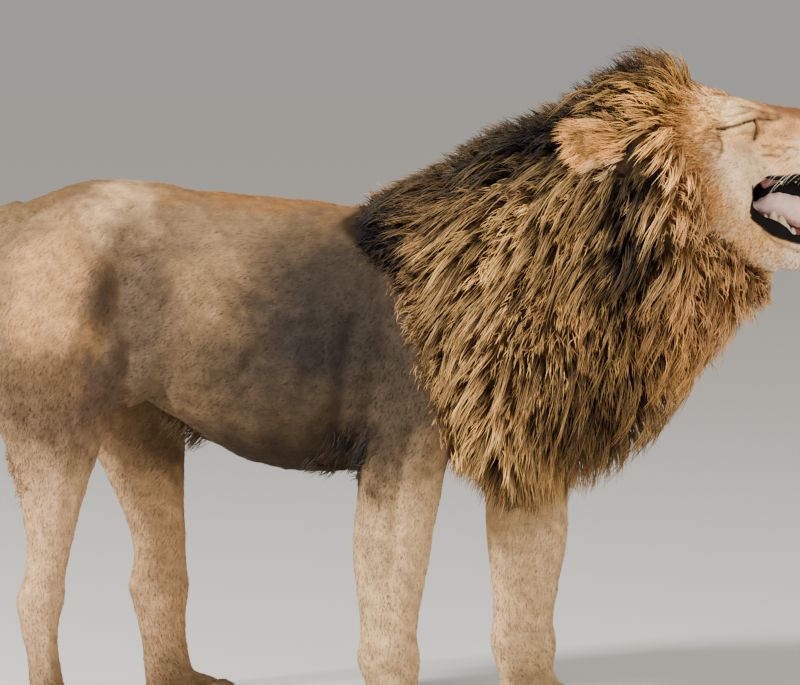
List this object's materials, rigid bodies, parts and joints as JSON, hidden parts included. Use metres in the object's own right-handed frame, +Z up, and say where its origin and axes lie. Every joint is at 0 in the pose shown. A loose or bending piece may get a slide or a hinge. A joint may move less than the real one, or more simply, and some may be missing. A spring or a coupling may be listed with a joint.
{
  "type": "lion",
  "caption": "Adult male lion with a full mane, standing still on four feet with its head raised and its mouth open, life size.",
  "frame": {"origin": "middle of the bounding box on the floor that the four feet stand on", "axes": "+X forwards, from the tail to the nose; +Y to the lion's left; +Z up"},
  "size_m": [1.9132, 0.5404, 1.3461],
  "materials": {
    "coat": "short flat tan hair, greyer along the back and paler under the belly, with small dark flecks",
    "mane": "long coarse hair, near black at the nape and brown at the sides with straw tips",
    "face": "very short tan hair, whitish on the chin and cheeks, ginger at the brow",
    "tongue": "wet pink tongue and gums, black lips",
    "nose_leather": "dark brown pebbled nose leather",
    "eye": "wet amber eye with a dark rim",
    "tooth": "yellowed tooth enamel",
    "claw": "dark horn"
  },
  "bodies": {
    "root": {"head": "face", "lower_jaw": "face", "tongue": "tongue", "nose_pad": "nose_leather", "eye_left": "eye", "eye_right": "eye", "ear_left": "face", "ear_right": "face", "neck_mane": "mane", "chest_mane": "mane", "trunk": "coat", "upper_arm_left": "coat", "forearm_left": "coat", "forepaw_left": "coat", "thigh_left": "coat", "shank_left": "coat", "hind_foot_left": "coat", "upper_arm_right": "coat", "forearm_right": "coat", "forepaw_right": "coat", "thigh_right": "coat", "shank_right": "coat", "hind_foot_right": "coat", "tail": "coat", "tail_tuft": "mane"}
  },
  "joints": []
}
